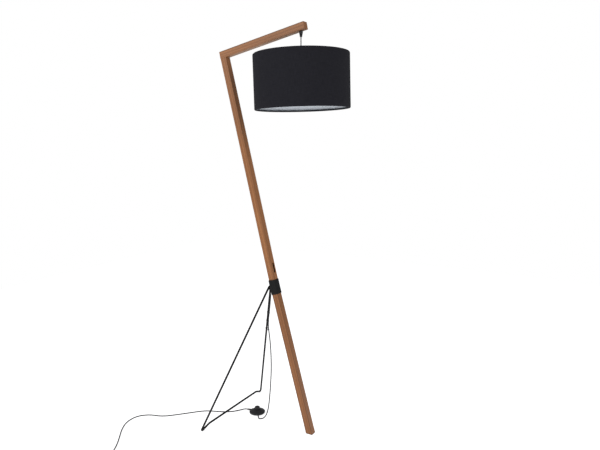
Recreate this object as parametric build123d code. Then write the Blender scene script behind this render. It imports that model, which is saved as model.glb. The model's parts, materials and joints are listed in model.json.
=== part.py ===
from build123d import *
import math
import os

# A leaning floor lamp. A square wooden pole in two lengths rises from the floor and leans back.
# A black steel collar joins the two lengths, and a bent-rod stand welded to the collar's back
# holds the pole up. A square wooden arm sits on the pole's top and carries a drum shade on a
# short cord. The mains lead leaves the collar, runs down one leg of the stand, and has a foot
# switch and a plug.
#
# Millimetres. +Z is up, +X is the way the arm points, and the origin is on the floor where the
# pole's centre line meets it. "Near" is the -Y side and "far" is the +Y side.

# ---- Driving sizes ------------------------------------------------------------------------

# Poles and arm
POLE_SIZE = 30.0  # square section of both poles and the arm
EDGE_ROUND = 1.0  # the long edges are eased
LOWER_LEAN = 15.8  # degrees back from upright
UPPER_LEAN = 14.1  # the upper pole settles forward a little in the collar
LOWER_LENGTH = 676.5  # floor to the joint in the collar, along the lean
UPPER_LENGTH = 1057.0  # joint to the arm's centre line
ARM_RISE = 12.05  # degrees the arm rises towards its tip
ARM_REACH = 422.0  # pole's centre line to the arm's tip
PAD_THICKNESS = 1.5  # rubber pad under the pole
CABLE_BORE = 9.0  # bore for the cable along the poles
CHANNEL_DEPTH = 18.0  # channel routed in the arm's underside
STRIP_THICKNESS = 3.0  # strip that closes the channel
DOWEL_DIAMETER = 6.0
DOWEL_LENGTH = 40.0
SLOT_LENGTH = 47.0  # opening in the upper pole's front face
SLOT_WIDTH = 10.0
SLOT_HEIGHT = 87.0  # its middle, above the joint
SLOT_SHIFT = 2.0  # towards the far side

# Collar
COLLAR_WALL = 2.0
COLLAR_CLEARANCE = 0.2  # between the wood and the steel, each side
COLLAR_UP = 35.0
COLLAR_DOWN = 31.0
SCREW_SHANK = 4.0
SCREW_HEAD = 7.6
SCREW_LENGTH = 12.0
EXIT_DROP = 19.0  # the cable's exit, below the joint
EXIT_EASE = 0.4  # the exit's bore is drilled this much wider, each side
GROMMET_DIAMETER = 10.0
GROMMET_FLANGE = 12.5
GROMMET_PROUD = 2.0

# Stand, bent from one round rod in a plane that leans forward
ROD_DIAMETER = 9.0
STAND_FOOT_X = -431.2  # the rod's centre line at the floor
STAND_FOOT_Y = 240.3
STAND_LEAN = 18.75  # degrees forward from upright
LEG_SPREAD = 18.96  # degrees each leg opens in that plane
TOE_RADIUS = 7.0  # centre line of the sharp bend at each toe
BAR_RISE = 17.0  # crossbar above the toes, up the plane
BAR_HALF = 189.5  # half the crossbar's straight middle
KINK_RADIUS = 14.0
HEAD_RADIUS = 8.0  # centre line of the hairpin at the top
TOE_STUB = 50.0  # leg length that belongs to the crossbar's piece
HEAD_STUB = 640.0  # where the legs end and the hairpin's piece begins
LUG_WIDTH = 16.0
LUG_BELOW = 6.0
LUG_ABOVE = 12.0

# Pendant: from the arm down to the lampholder
PENDANT_REACH = 397.0  # along the arm from the pole's centre line
GRIP_DIAMETER = 15.5
GRIP_MOUTH = 8.5
GRIP_LENGTH = 25.0
PENDANT_CORD = 4.8
PENDANT_DROP = 47.4  # from the grip's mouth to the lampholder's clamp
HANG_TILT = 1.75  # degrees the shade hangs out of true
SOCKET_CLEARANCE = 0.4  # round the cord's rounded ends, where it swings

# Lampholder, measured down from the clamp's top
CLAMP_DIAMETER = 11.0
CLAMP_LENGTH = 13.0
TURN_GAP = 0.08  # running clearance of the lampholder on its clamp
CAP_DIAMETER = 39.0
CAP_TOP = 10.0
CAP_BOTTOM = 40.0
HOLDER_WALL = 1.6
SEAT_DEPTH = 44.0  # face that the shade's middle ring hangs on
SKIRT_DIAMETER = 37.0
SKIRT_BOTTOM = 70.0
RING_DIAMETER = 55.0
RING_HEIGHT = 7.0
INSERT_THICKNESS = 8.0

# Shade
SHADE_DIAMETER = 400.0
SHADE_HEIGHT = 223.0
SHADE_TOP = 18.2  # its top edge, down from the clamp's top
FABRIC_THICKNESS = 1.2
LINING_THICKNESS = 0.6
SHADE_WIRE = 3.0
HEM_THICKNESS = 0.7
HEM_TAIL = 5.0
HEM_SIDES = 12  # flats round the rolled edge
SPOKE_DIAMETER = 3.5
SPIDER_OUTER = 56.0
SPIDER_PLATE = 2.0
SPOKES = 3

# Bulb
BULB_DIAMETER = 60.0
BULB_GLASS = 1.0
BULB_NECK = 30.0
BULB_LENGTH = 106.0
BULB_CAP_DIAMETER = 26.4
BULB_CAP_LENGTH = 24.0

# Mains cord and what is on it
CORD = 5.0
FIT_GAP = 0.05  # radial gap round a held cord, a shank or a pin
SWITCH_X = -317.3
SWITCH_Y = 41.2
SWITCH_DIAMETER = 75.0
SWITCH_BASE = 6.0  # top of the base plate above the floor
SWITCH_TOP = 17.5
SWITCH_RIM = 6.5  # where the cover's upright edge ends
SWITCH_CROWN = 32.0  # diameter where the conical cover flattens
SWITCH_SCREWS = 45.0  # diameter of the circle its screws stand on
SWITCH_WALL = 2.0
SWITCH_PAD = 1.0
SWITCH_IN = -51.0  # direction of the lead from the stand, degrees from +X
SWITCH_OUT = 190.0
BUTTON_DIAMETER = 25.0
BUTTON_TOP = 29.5
BUTTON_TRAVEL = 3.5
BUTTON_GAP = 0.3
BOOT_LENGTH = 14.0
BOOT_INSET = 11.0  # how far each one reaches into the switch
BOOT_ROOT = 9.0
BOOT_TIP = 6.4
BOOT_HEIGHT = 7.5
COIL_RADIUS = 30.0  # middle of the turns
COIL_BAND = 10.0
COIL_HEIGHT = 9.4
COIL_LIFT = 1.2  # the strap under the turns
TIE_ARC = 14.0  # degrees of the coil under the strap
TAIL_TURN = 0.0  # where the lead's end leaves the coil, degrees from its -Y side
TAIL_LENGTH = 30.0
PLUG_WIDTH = 35.0
PLUG_THICKNESS = 14.0
PLUG_LENGTH = 38.0
PIN_DIAMETER = 4.0
PIN_LENGTH = 19.0
PIN_ROOT = 3.2  # diameter of the part that is held in the plug
PIN_SPACING = 19.0
RELIEF_LENGTH = 26.0
RELIEF_ROOT = 11.0
TIE_WIDTH = 3.6
TIE_THICKNESS = 1.1

# The lead's route as hand-placed points, each a bend that the cord rounds off.
# First length: out of the collar, down the far leg, through the air, to the foot switch.
DROP_ROUTE = [
    (-197.9, 0.0, 627.3),
    (-209.5, 0.0, 623.9),
    (-216.6, 12.5, 613.0),
    (-221.5, 21.4, 600.0),
    (-231.7, 32.3, 570.0),
    (-244.9, 47.3, 530.0),
    (-260.7, 63.2, 485.0),
    (-275.3, 79.6, 440.0),
    (-279.5, 91.0, 402.0),
    (-279.0, 100.0, 355.0),
    (-269.0, 93.0, 288.0),
    (-259.0, 79.0, 216.0),
    (-253.5, 63.0, 146.0),
    (-250.0, 47.5, 84.0),
    (-248.0, 34.0, 42.0),
    (-248.4, 19.0, 16.5),
    (-252.0, 3.0, 5.6),
    (-260.0, -9.5, 4.2),
    (-269.0, -17.0, 6.0),
    (-275.35, -10.6, 7.5),
    (-284.9, 1.18, 7.5),
]
# Second length: from the switch over the floor to the wound coil.
FLOOR_ROUTE = [
    (-368.02, 32.26, 7.5),
    (-377.87, 30.52, 7.5),
    (-389.5, 23.0, 5.0),
    (-404.0, 6.0, 2.8),
    (-421.0, -14.5, 2.6),
    (-448.0, -36.5, 2.6),
    (-489.0, -54.0, 2.6),
    (-543.0, -76.0, 2.6),
    (-592.0, -129.0, 2.6),
    (-636.0, -178.0, 2.6),
    (-684.0, -225.0, 2.6),
    (-748.0, -240.0, 2.6),
    (-791.0, -284.0, 2.6),
    (-789.0, -348.0, 2.6),
    (-757.0, -406.0, 2.6),
    (-712.0, -461.0, 2.6),
    (-668.0, -518.0, 2.6),
    (-634.0, -580.0, 2.6),
    (-612.0, -640.0, 2.6),
]

# ---- Frames worked out from the sizes ------------------------------------------------------


def leaning(origin, lean):
    """A frame whose Z leans back by lean degrees, or whose X rises by as much."""
    return Location(origin, (0, -lean, 0))


LOWER = leaning((0, 0, 0), LOWER_LEAN)
JOINT_POINT = (LOWER * Pos(0, 0, LOWER_LENGTH)).position
LOWER_JOINT = leaning(JOINT_POINT, LOWER_LEAN)
UPPER_JOINT = leaning(JOINT_POINT, UPPER_LEAN)
MITRE = leaning(JOINT_POINT, (LOWER_LEAN + UPPER_LEAN) / 2)
ARM = leaning((UPPER_JOINT * Pos(0, 0, UPPER_LENGTH)).position, ARM_RISE)

ROD_RADIUS = ROD_DIAMETER / 2
STAND = Location((STAND_FOOT_X, 0, ROD_RADIUS), (0, STAND_LEAN, 0))
LEG_SLOPE = math.tan(math.radians(LEG_SPREAD))

UNDERSIDE = (ARM * Pos(PENDANT_REACH, 0, -POLE_SIZE / 2)).position
MOUTH = UNDERSIDE - Vector(0, 0, GRIP_LENGTH)
CLAMP = MOUTH - Vector(0, 0, PENDANT_DROP)
LAMP = leaning(CLAMP, HANG_TILT)

SWITCH = Location((SWITCH_X, SWITCH_Y, 0))
BIG = 4000.0

# ---- Small helpers -------------------------------------------------------------------------


def save(name, shape):
    """Write one piece, or one group of equal pieces, to its own file."""
    if isinstance(shape, list):
        shape = Compound(children=shape)
    shape.label = name
    export_step(shape, f"parts/{name}.step")
    print(name, "volume", round(shape.volume))


def rod(start, end, radius):
    """A straight round bar between two points."""
    axis = Vector(*end) - Vector(*start)
    return Plane(origin=start, z_dir=axis) * Cylinder(
        radius, axis.length, align=(Align.CENTER, Align.CENTER, Align.MIN)
    )


def post(low, high, radius, x=0.0, y=0.0):
    """An upright cylinder from low to high in a local frame."""
    return Pos(x, y, low) * Cylinder(radius, high - low, align=(Align.CENTER, Align.CENTER, Align.MIN))


def cone(low, high, low_radius, high_radius):
    """An upright cone frustum from low to high in a local frame."""
    return Pos(0, 0, low) * Cone(
        low_radius, high_radius, high - low, align=(Align.CENTER, Align.CENTER, Align.MIN)
    )


def beam(start, end, size, rounding, along=Axis.Z):
    """A square timber along Z or X with its long edges eased."""
    length = end - start
    if along == Axis.Z:
        timber = Pos(0, 0, (start + end) / 2) * Box(size, size, length)
    else:
        timber = Pos((start + end) / 2, 0, 0) * Box(length, size, size)
    return fillet(timber.edges().filter_by(along), rounding)


def above(frame):
    """Everything over a frame's XY plane."""
    return frame * Pos(0, 0, BIG / 2) * Box(BIG, BIG, BIG)


def below(frame):
    """Everything under a frame's XY plane."""
    return frame * Pos(0, 0, -BIG / 2) * Box(BIG, BIG, BIG)


def spun(points):
    """A closed outline of (radius, height) points turned round Z."""
    face = make_face(Polyline(*[(r, 0, z) for r, z in points], close=True))
    return revolve(face, Axis.Z)


def tube(path, radius):
    """A round section swept along a path."""
    section = Plane(origin=path @ 0, z_dir=path % 0) * Circle(radius)
    return sweep(section, path=path)


def corner_radii(points, share=0.45):
    """The largest radius that each corner of a route allows."""
    radii = []
    for before, here, after in zip(points, points[1:], points[2:]):
        come = Vector(*here) - Vector(*before)
        go = Vector(*after) - Vector(*here)
        half_turn = math.radians(come.get_angle(go)) / 2
        radii.append(share * min(come.length, go.length) / math.tan(half_turn))
    return radii


def cord_tube(name, points):
    """A cord along its route, with its sizes printed."""
    radii = corner_radii(points)
    path = FilletPolyline(*points, radius=radii)
    body = tube(path, CORD / 2)
    print(name, "radii", [round(r) for r in radii])
    print(name, "length", round(path.length, 1), "volume ratio",
          round(body.volume / (math.pi * CORD**2 / 4 * path.length), 4))
    return body


# ---- Poles, arm and what joins them --------------------------------------------------------


def sleeve(size, rounding, up, down):
    """A square prism that follows both poles through the joint."""
    lower = LOWER_JOINT * beam(-down, size, size, rounding) & below(MITRE)
    upper = UPPER_JOINT * beam(-size, up, size, rounding) & above(MITRE)
    return lower + upper


def bored_round(frame, height, direction):
    """A screw hole or screw shank line at a height, out through one side of a pole."""
    turn = {"back": (0, -90, 0), "far": (-90, 0, 0)}[direction]
    return frame * Pos(0, 0, height) * Location((0, 0, 0), turn)


COLLAR_INNER = POLE_SIZE + 2 * COLLAR_CLEARANCE
COLLAR_OUTER = COLLAR_INNER + 2 * COLLAR_WALL
SCREW_PLACES = [
    bored_round(UPPER_JOINT, COLLAR_UP - 9.0, "back"),
    bored_round(UPPER_JOINT, COLLAR_UP - 9.0, "far"),
    bored_round(LOWER_JOINT, 9.0 - COLLAR_DOWN, "far"),
]
SCREW_INNER = COLLAR_OUTER / 2 - SCREW_LENGTH


def screw_holes():
    """Clearance for the collar's three screws."""
    hole = post(SCREW_INNER - FIT_GAP, COLLAR_OUTER / 2 + 1, SCREW_SHANK / 2 + FIT_GAP)
    return [place * hole for place in SCREW_PLACES]


def cable_exit(radius, reach):
    """A round hole from the lower pole's centre out of its back."""
    frame = LOWER_JOINT * Pos(0, 0, -EXIT_DROP) * Location((0, 0, 0), (0, -90, 0))
    return frame * post(0, reach, radius)


def make_lower_pole():
    pole = LOWER * beam(-POLE_SIZE, LOWER_LENGTH + POLE_SIZE, POLE_SIZE, EDGE_ROUND)
    pole = pole & below(MITRE) & above(Location((0, 0, PAD_THICKNESS)))
    pole -= LOWER_JOINT * post(-EXIT_DROP - CABLE_BORE, POLE_SIZE, CABLE_BORE / 2)
    pole -= cable_exit(CABLE_BORE / 2 + EXIT_EASE, POLE_SIZE)
    for hole in screw_holes():
        pole -= hole
    return pole


def make_upper_pole():
    arm_underside = ARM * Pos(0, 0, -POLE_SIZE / 2)
    pole = UPPER_JOINT * beam(-POLE_SIZE, UPPER_LENGTH, POLE_SIZE, EDGE_ROUND)
    pole = pole & above(MITRE) & below(arm_underside)
    pole -= UPPER_JOINT * post(-POLE_SIZE, UPPER_LENGTH, CABLE_BORE / 2)
    slot = Plane(origin=(0, SLOT_SHIFT, SLOT_HEIGHT), x_dir=(0, 0, 1), z_dir=(1, 0, 0)) * SlotOverall(
        SLOT_LENGTH, SLOT_WIDTH
    )
    pole -= UPPER_JOINT * extrude(slot, POLE_SIZE)
    for hole in screw_holes() + dowels(FIT_GAP):
        pole -= hole
    return pole


def dowels(gap=0.0):
    """Two dowels that pin the arm to the pole's top, one each side of the cable."""
    half = DOWEL_LENGTH / 2 + gap
    offset = (CABLE_BORE + POLE_SIZE) / 4
    centre = -POLE_SIZE / 2
    pins = [post(centre - half, centre + half, DOWEL_DIAMETER / 2 + gap, y=y) for y in (-offset, offset)]
    return [ARM * pin for pin in pins]


CHANNEL_WIDTH = CABLE_BORE
CHANNEL_START = -CABLE_BORE / 2
CHANNEL_END = PENDANT_REACH + CABLE_BORE / 2
STRIP_START = POLE_SIZE / 2 + 1.0
STRIP_END = PENDANT_REACH - GRIP_DIAMETER / 2 - 1.0


def channel(start, end, depth, width):
    """A straight groove up from the arm's underside."""
    middle = (start + end) / 2
    return ARM * Pos(middle, 0, (depth - POLE_SIZE) / 2) * Box(end - start, width, depth)


def make_arm():
    arm = ARM * beam(-POLE_SIZE / 2, ARM_REACH, POLE_SIZE, EDGE_ROUND, Axis.X)
    arm -= channel(CHANNEL_START, CHANNEL_END, CHANNEL_DEPTH, CHANNEL_WIDTH)
    for hole in dowels(FIT_GAP):
        arm -= hole
    return arm


def make_strip():
    return channel(STRIP_START, STRIP_END, STRIP_THICKNESS, CHANNEL_WIDTH - 2 * FIT_GAP)


def make_foot_pad():
    pad = LOWER * beam(-POLE_SIZE, POLE_SIZE, POLE_SIZE, EDGE_ROUND)
    return pad & above(Location((0, 0, 0))) & below(Location((0, 0, PAD_THICKNESS)))


def make_collar():
    collar = sleeve(COLLAR_OUTER, COLLAR_WALL, COLLAR_UP, COLLAR_DOWN)
    collar -= sleeve(COLLAR_INNER, EDGE_ROUND, 2 * COLLAR_UP, 2 * COLLAR_DOWN)
    collar -= cable_exit(GROMMET_DIAMETER / 2 + FIT_GAP, POLE_SIZE)
    for hole in screw_holes():
        collar -= hole
    return collar


def make_collar_screws():
    head_height = SCREW_HEAD * 0.32
    face = COLLAR_OUTER / 2
    shank = post(SCREW_INNER, face, SCREW_SHANK / 2)
    head = post(face, face + head_height, SCREW_HEAD / 2)
    head = fillet(head.edges().sort_by(Axis.Z)[-1], head_height * 0.6)
    recess = post(face + head_height * 0.4, face + head_height, SCREW_SHANK * 0.36)
    return Compound(children=[place * (shank + head - recess) for place in SCREW_PLACES])


def make_grommet():
    inner = CORD / 2 + FIT_GAP
    inside = POLE_SIZE / 2 + COLLAR_CLEARANCE
    outside = COLLAR_OUTER / 2
    ring = post(inside, outside, GROMMET_DIAMETER / 2)
    ring += post(outside, outside + GROMMET_PROUD, GROMMET_FLANGE / 2)
    ring -= post(inside - 1, outside + GROMMET_PROUD + 1, inner)
    return LOWER_JOINT * Pos(0, 0, -EXIT_DROP) * Location((0, 0, 0), (0, -90, 0)) * ring


# ---- Stand ---------------------------------------------------------------------------------


def leg_y(up):
    """How far a leg is from the middle, at a distance up the stand's plane."""
    return STAND_FOOT_Y - up * LEG_SLOPE


def in_stand(y, up):
    """A point of the stand's plane in the lamp's frame."""
    return (STAND * Pos(0, y, up)).position


def toe_corner():
    """Where a leg and the crossbar's slanted end would meet if the toe were not rounded."""
    spread = math.radians(LEG_SPREAD)
    toe_y = STAND_FOOT_Y - TOE_RADIUS * (1 + math.sin(spread)) / math.cos(spread)
    across = toe_y - BAR_HALF
    drop = TOE_RADIUS - BAR_RISE
    slant = math.atan2(drop, across) - math.asin(TOE_RADIUS / math.hypot(across, drop))
    run = (STAND_FOOT_Y - BAR_RISE * LEG_SLOPE - BAR_HALF) / (
        math.cos(slant) + LEG_SLOPE * math.sin(slant)
    )
    return BAR_HALF + run * math.cos(slant), BAR_RISE + run * math.sin(slant)


def make_crossbar():
    toe_y, toe_up = toe_corner()
    stub_y = leg_y(TOE_STUB)
    half = [(stub_y, TOE_STUB), (toe_y, toe_up), (BAR_HALF, BAR_RISE)]
    route = [(-y, up) for y, up in half] + half[::-1]
    radii = [TOE_RADIUS, KINK_RADIUS, KINK_RADIUS, TOE_RADIUS]
    path = FilletPolyline(*[in_stand(y, up) for y, up in route], radius=radii)
    return tube(path, ROD_RADIUS)


def make_head():
    apex = STAND_FOOT_Y / LEG_SLOPE
    route = [(-leg_y(HEAD_STUB), HEAD_STUB), (0.0, apex), (leg_y(HEAD_STUB), HEAD_STUB)]
    path = FilletPolyline(*[in_stand(y, up) for y, up in route], radius=HEAD_RADIUS)
    return tube(path, ROD_RADIUS)


def make_leg(side):
    return rod(
        in_stand(side * leg_y(TOE_STUB), TOE_STUB), in_stand(side * leg_y(HEAD_STUB), HEAD_STUB), ROD_RADIUS
    )


def make_lug(head):
    """The plate that ties the hairpin to the collar's back."""
    reach = COLLAR_OUTER
    height = LUG_BELOW + LUG_ABOVE
    block = Pos(-COLLAR_OUTER / 2 - reach / 2, 0, (LUG_ABOVE - LUG_BELOW) / 2) * Box(reach, LUG_WIDTH, height)
    block = LOWER_JOINT * fillet(block.edges().filter_by(Axis.X), EDGE_ROUND)
    front_of_rods = STAND * Pos(BIG / 2, 0, 0) * Box(BIG, BIG, BIG)
    lug = block & front_of_rods
    lug -= sleeve(COLLAR_OUTER, COLLAR_WALL, COLLAR_UP, COLLAR_DOWN)
    return lug - head


# ---- Cable inside the poles and arm, the grip and the pendant cord --------------------------


def make_inner_cord():
    bend = CORD * 1.6
    channel_line = CHANNEL_DEPTH - POLE_SIZE / 2 - CABLE_BORE / 2 - CORD / 2
    start = (LOWER_JOINT * Pos(-COLLAR_OUTER / 2 - GROMMET_PROUD, 0, -EXIT_DROP)).position
    foot = (LOWER_JOINT * Pos(0, 0, -EXIT_DROP)).position
    top = (ARM * Pos(0, 0, channel_line)).position
    tip = (ARM * Pos(PENDANT_REACH, 0, channel_line)).position
    end = MOUTH + Vector(0, 0, PENDANT_CORD)
    knee = JOINT_POINT
    corners = [start, foot, knee, top, tip, end]
    radii = [bend, POLE_SIZE, bend, bend]
    return tube(FilletPolyline(*corners, radius=radii), CORD / 2)


def make_grip(inner_cord):
    """The tapered cord grip under the arm: a spigot in the arm and a cone below it."""
    top = GRIP_LENGTH + POLE_SIZE / 4
    body = cone(0, GRIP_LENGTH - 7.0, GRIP_MOUTH / 2, GRIP_DIAMETER / 2)
    body += post(GRIP_LENGTH - 7.0, top, GRIP_DIAMETER / 2)
    body = Location(MOUTH) * body & below(ARM * Pos(0, 0, -POLE_SIZE / 2))
    spigot_radius = CABLE_BORE / 2 - FIT_GAP
    spigot = ARM * post(-POLE_SIZE / 2, -POLE_SIZE / 4, spigot_radius, x=PENDANT_REACH)
    body += spigot
    body -= Location(MOUTH) * post(-1, top + POLE_SIZE, CORD / 2 + FIT_GAP)
    socket_radius = PENDANT_CORD / 2 + SOCKET_CLEARANCE
    body -= Location(MOUTH) * Sphere(socket_radius)
    return body - inner_cord


def make_pendant_cord():
    """The short cord, with rounded ends about which it swings."""
    radius = PENDANT_CORD / 2
    cord = Location(CLAMP) * post(0, PENDANT_DROP, radius)
    return cord + Location(MOUTH) * Sphere(radius) + Location(CLAMP) * Sphere(radius)


# ---- Lampholder, bulb and shade, in the lamp's own hanging frame ----------------------------


def make_clamp():
    socket_radius = PENDANT_CORD / 2 + SOCKET_CLEARANCE
    body = post(-CLAMP_LENGTH, 0, CLAMP_DIAMETER / 2)
    body = fillet(body.edges().sort_by(Axis.Z)[-1], 1.5)
    body += post(-CLAMP_LENGTH, -CAP_TOP - HOLDER_WALL - TURN_GAP, CLAMP_DIAMETER / 2 + 3.0)
    body -= Sphere(socket_radius)
    body -= cone(-0.01, 2.0, socket_radius, socket_radius + 1.0)
    return body


def make_cap():
    radius = CAP_DIAMETER / 2
    hole = CLAMP_DIAMETER / 2 + TURN_GAP
    outline = [
        (hole, -CAP_TOP),
        (radius * 0.55, -CAP_TOP),
        (radius * 0.9, -CAP_TOP - 7.0),
        (radius, -CAP_TOP - 14.0),
        (radius, -CAP_BOTTOM),
        (radius - HOLDER_WALL, -CAP_BOTTOM),
        (radius - HOLDER_WALL, -CAP_TOP - 14.6),
        (radius * 0.9 - HOLDER_WALL, -CAP_TOP - 8.2),
        (radius * 0.52, -CAP_TOP - HOLDER_WALL),
        (hole, -CAP_TOP - HOLDER_WALL),
    ]
    return spun(outline)


SEAT_RADIUS = CAP_DIAMETER / 2 + 2.5


def make_skirt():
    radius = SKIRT_DIAMETER / 2
    inner = radius - HOLDER_WALL
    outline = [
        (inner, -CAP_BOTTOM),
        (SEAT_RADIUS, -CAP_BOTTOM),
        (SEAT_RADIUS, -SEAT_DEPTH),
        (radius, -SEAT_DEPTH),
        (radius, -SKIRT_BOTTOM),
        (inner, -SKIRT_BOTTOM),
    ]
    return spun(outline)


RING_TOP = SEAT_DEPTH + SPIDER_PLATE


def make_holder_ring():
    """The grooved ring that clamps the shade's middle ring."""
    inner = SKIRT_DIAMETER / 2 + FIT_GAP
    ring = post(-RING_TOP - RING_HEIGHT, -RING_TOP, RING_DIAMETER / 2)
    ring -= post(-RING_TOP - RING_HEIGHT - 1, -RING_TOP + 1, inner)
    ribs = 24
    for index in range(ribs):
        groove = post(-RING_TOP - RING_HEIGHT - 1, -RING_TOP + 1, 1.0, x=RING_DIAMETER / 2 + 0.3)
        ring -= Rot(0, 0, 360 * index / ribs) * groove
    return ring


INSERT_RADIUS = SKIRT_DIAMETER / 2 - HOLDER_WALL - FIT_GAP
INSERT_TOP = CAP_BOTTOM


def make_insert():
    body = post(-INSERT_TOP - INSERT_THICKNESS, -INSERT_TOP, INSERT_RADIUS)
    return body - post(-INSERT_TOP - INSERT_THICKNESS, -INSERT_TOP - INSERT_THICKNESS + 3, 6.0)


def make_holder_contact():
    low = -INSERT_TOP - INSERT_THICKNESS
    return Pos(0, 0, low + 2.0) * Box(9.0, 5.0, 2.0)


BULB_TOP = INSERT_TOP + INSERT_THICKNESS + 1.2  # the bulb's tip contact, down from the clamp


def make_bulb_tip():
    return cone(-BULB_TOP - 3.0, -BULB_TOP, 7.0, 4.5)


def make_bulb_cap():
    top = -BULB_TOP - 3.0
    bottom = -BULB_TOP - BULB_CAP_LENGTH
    core = BULB_CAP_DIAMETER / 2 - 0.9
    shell = post(bottom, top, core)
    pitch = 3.6
    turns = int((top - bottom - 4.0) / pitch)
    for index in range(turns):
        height = bottom + 3.0 + pitch * (index + 0.5)
        shell += Pos(0, 0, height) * Torus(core - 0.3, 1.2)
    return shell - post(bottom - 1, top - 1.0, core - 0.6)


def make_bulb_body():
    """The lower housing, a flared cone that the dome sits on."""
    low = -BULB_TOP - BULB_CAP_LENGTH
    flare = low - 28.0
    outline = [
        (0, low + 8.0),
        (BULB_CAP_DIAMETER / 2 - 1.6, low + 8.0),
        (BULB_CAP_DIAMETER / 2 - 1.6, low),
        (BULB_NECK / 2, low),
        (BULB_DIAMETER / 2 - 4.0, flare),
        (0, flare),
    ]
    return spun(outline)


def make_bulb_dome():
    flare = -BULB_TOP - BULB_CAP_LENGTH - 28.0
    tip = -BULB_TOP - BULB_LENGTH
    rim = BULB_DIAMETER / 2 - 4.0

    def bowl(inset):
        wide = BULB_DIAMETER / 2 - inset
        side = Line((0, 0, flare), (rim - inset, 0, flare))
        skin = Spline(
            (rim - inset, 0, flare),
            (wide, 0, (flare * 2 + tip) / 3 + 2.0),
            (wide * 0.72, 0, tip + inset + 8.0),
            (0, 0, tip + inset),
            tangents=[(0.5, 0, -1), (-1, 0, 0)],
        )
        spine = Line((0, 0, tip + inset), (0, 0, flare))
        return revolve(make_face([side, skin, spine]), Axis.Z)

    return bowl(0) - bowl(BULB_GLASS)


SHADE_RADIUS = SHADE_DIAMETER / 2
SHADE_BOTTOM = SHADE_TOP + SHADE_HEIGHT
LINING_OUTER = SHADE_RADIUS - FABRIC_THICKNESS
LINING_INNER = LINING_OUTER - LINING_THICKNESS
HEM_RADIUS = SHADE_WIRE / 2 + HEM_THICKNESS
WIRE_CENTRE = LINING_INNER - HEM_RADIUS


def drum(outer, inner):
    return post(-SHADE_BOTTOM, -SHADE_TOP, outer) - post(-SHADE_BOTTOM - 1, -SHADE_TOP + 1, inner)


def wire_height(top):
    """Height of a hoop's centre, just inside the shade's top or bottom edge."""
    return -SHADE_TOP - HEM_RADIUS if top else -SHADE_BOTTOM + HEM_RADIUS


def hem_outline(radius, height):
    """A many-sided outline round a hoop's wire."""
    corners = []
    for side in range(HEM_SIDES):
        angle = 2 * math.pi * (side + 0.5) / HEM_SIDES
        corners.append((WIRE_CENTRE + radius * math.cos(angle), height + radius * math.sin(angle)))
    return corners


def make_hem(top):
    """The fabric turned in over a hoop, with its tail stuck on the lining."""
    height = wire_height(top)
    way = -1 if top else 1
    flat_share = math.cos(math.pi / HEM_SIDES)
    wire_room = (SHADE_WIRE / 2 + FIT_GAP) / flat_share
    roll = spun(hem_outline(HEM_RADIUS, height)) - spun(hem_outline(wire_room, height))
    tail_outline = [
        (LINING_INNER - HEM_THICKNESS, height + way * HEM_RADIUS * 0.6),
        (LINING_INNER, height + way * HEM_RADIUS * 0.3),
        (LINING_INNER, height + way * HEM_TAIL),
        (LINING_INNER - HEM_THICKNESS, height + way * HEM_TAIL),
    ]
    return roll + spun(tail_outline)


def spoke(index):
    """One wire from the middle ring up to the top hoop, through the hem."""
    inner = (SPIDER_OUTER / 2 - 3.0, -SEAT_DEPTH - SPIDER_PLATE / 2)
    outer = (WIRE_CENTRE, wire_height(True))
    wire = rod((inner[0], 0, inner[1]), (outer[0], 0, outer[1]), SPOKE_DIAMETER / 2)
    return Rot(0, 0, 360 * index / SPOKES + 15) * wire


def make_hoop(top):
    return Pos(0, 0, wire_height(top)) * Torus(WIRE_CENTRE, SHADE_WIRE / 2)


def make_spider():
    """Three spokes welded to the middle ring, reaching out to the top hoop."""
    seat_hole = SKIRT_DIAMETER / 2 + 0.3
    ring = post(-SEAT_DEPTH - SPIDER_PLATE, -SEAT_DEPTH, SPIDER_OUTER / 2)
    frame = ring
    for index in range(SPOKES):
        frame += spoke(index)
    frame -= post(-SEAT_DEPTH - SPIDER_PLATE - 10, -SEAT_DEPTH - SPIDER_PLATE, RING_DIAMETER / 2 + 0.5)
    frame -= post(-SEAT_DEPTH, -SEAT_DEPTH + 10, SEAT_RADIUS + 0.5)
    frame -= post(-SEAT_DEPTH - SPIDER_PLATE - 1, -SEAT_DEPTH + 1, seat_hole)
    return frame - make_hoop(True)


# ---- Foot switch ---------------------------------------------------------------------------

SWITCH_RADIUS = SWITCH_DIAMETER / 2
BUTTON_HOLE = BUTTON_DIAMETER / 2 + BUTTON_GAP
BUTTON_FLANGE = BUTTON_DIAMETER / 2 + 2.0
BUTTON_FLANGE_TOP = SWITCH_TOP - SWITCH_WALL - 0.2
BUTTON_FLANGE_LOW = BUTTON_FLANGE_TOP - 1.6
BLOCK_TOP = SWITCH_BASE + 2.0
BLOCK_RADIUS = BUTTON_FLANGE + 1.0
SPRING_WIRE = 0.9
SPRING_RADIUS = 6.0
SPRING_TURNS = 4
PLACES_AROUND = (60, 150, 285)
PILLAR_RADIUS = 3.4
SCREW_REACH = SWITCH_TOP - 9.5


def boot_places():
    """Frames whose Z runs out along the two leads, from the switch's middle."""
    return [SWITCH * Pos(0, 0, BOOT_HEIGHT) * Rot(0, 0, turn) * Rot(0, 90, 0) for turn in (SWITCH_IN, SWITCH_OUT)]


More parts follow.
